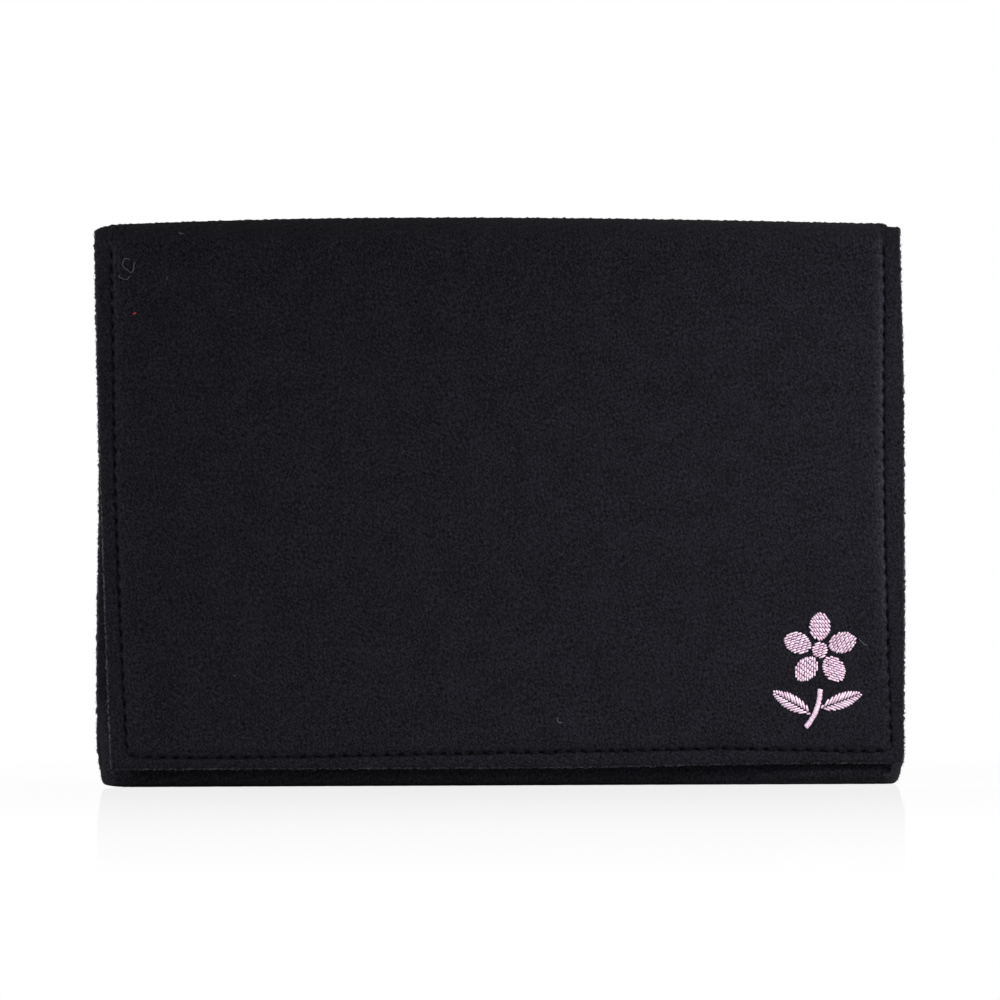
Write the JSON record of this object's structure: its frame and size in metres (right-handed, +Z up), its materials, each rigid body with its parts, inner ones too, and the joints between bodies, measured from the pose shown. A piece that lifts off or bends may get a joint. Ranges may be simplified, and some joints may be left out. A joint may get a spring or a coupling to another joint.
{
  "type": "needle case",
  "caption": "Folded black felt needle case with a full front flap, stitched border, small pink embroidered blossom, sewn needle slots and a front pocket inside.",
  "frame": {"origin": "middle of the bottom fold, on the table", "axes": "+Z up, +X along the width to the right of the flap's face, -Y out of the flap's face"},
  "size_m": [0.23, 0.0246, 0.1616],
  "materials": {
    "black_felt": "pressed felt",
    "lining_felt": "thin pressed felt",
    "black_thread": "spun sewing thread",
    "pink_thread": "glossy embroidery thread",
    "hook_tape": "woven tape with hooks",
    "loop_tape": "woven tape with loops"
  },
  "bodies": {
    "case": {"cover_body": "black_felt", "back_lining": "lining_felt", "slot_panel": "lining_felt", "slot_stitching": "black_thread", "left_seam_stitching": "black_thread", "right_seam_stitching": "black_thread", "loop_tape_left": "loop_tape", "loop_tape_right": "loop_tape", "loop_tape_stitching": "black_thread"},
    "spine": {"cover_spine": "black_felt", "spine_lining": "lining_felt"},
    "flap": {"cover_flap": "black_felt", "flap_lining": "lining_felt", "flap_border_stitching": "black_thread", "hook_tape_left": "hook_tape", "hook_tape_right": "hook_tape", "hook_tape_stitching": "black_thread", "motif_petals": "pink_thread", "motif_centre": "pink_thread", "motif_leaves": "pink_thread", "motif_stem": "pink_thread"}
  },
  "joints": [
    {"name": "spine_fold", "type": "hinge", "parent": "case", "child": "spine", "pos_m": [0, 0.00929, 0.15599], "axis": [-1, 0, 0], "range_deg": [0, 90]},
    {"name": "flap_fold", "type": "hinge", "parent": "spine", "child": "flap", "pos_m": [0, -0.00869, 0.15599], "axis": [-1, 0, 0], "range_deg": [0, 90]}
  ]
}
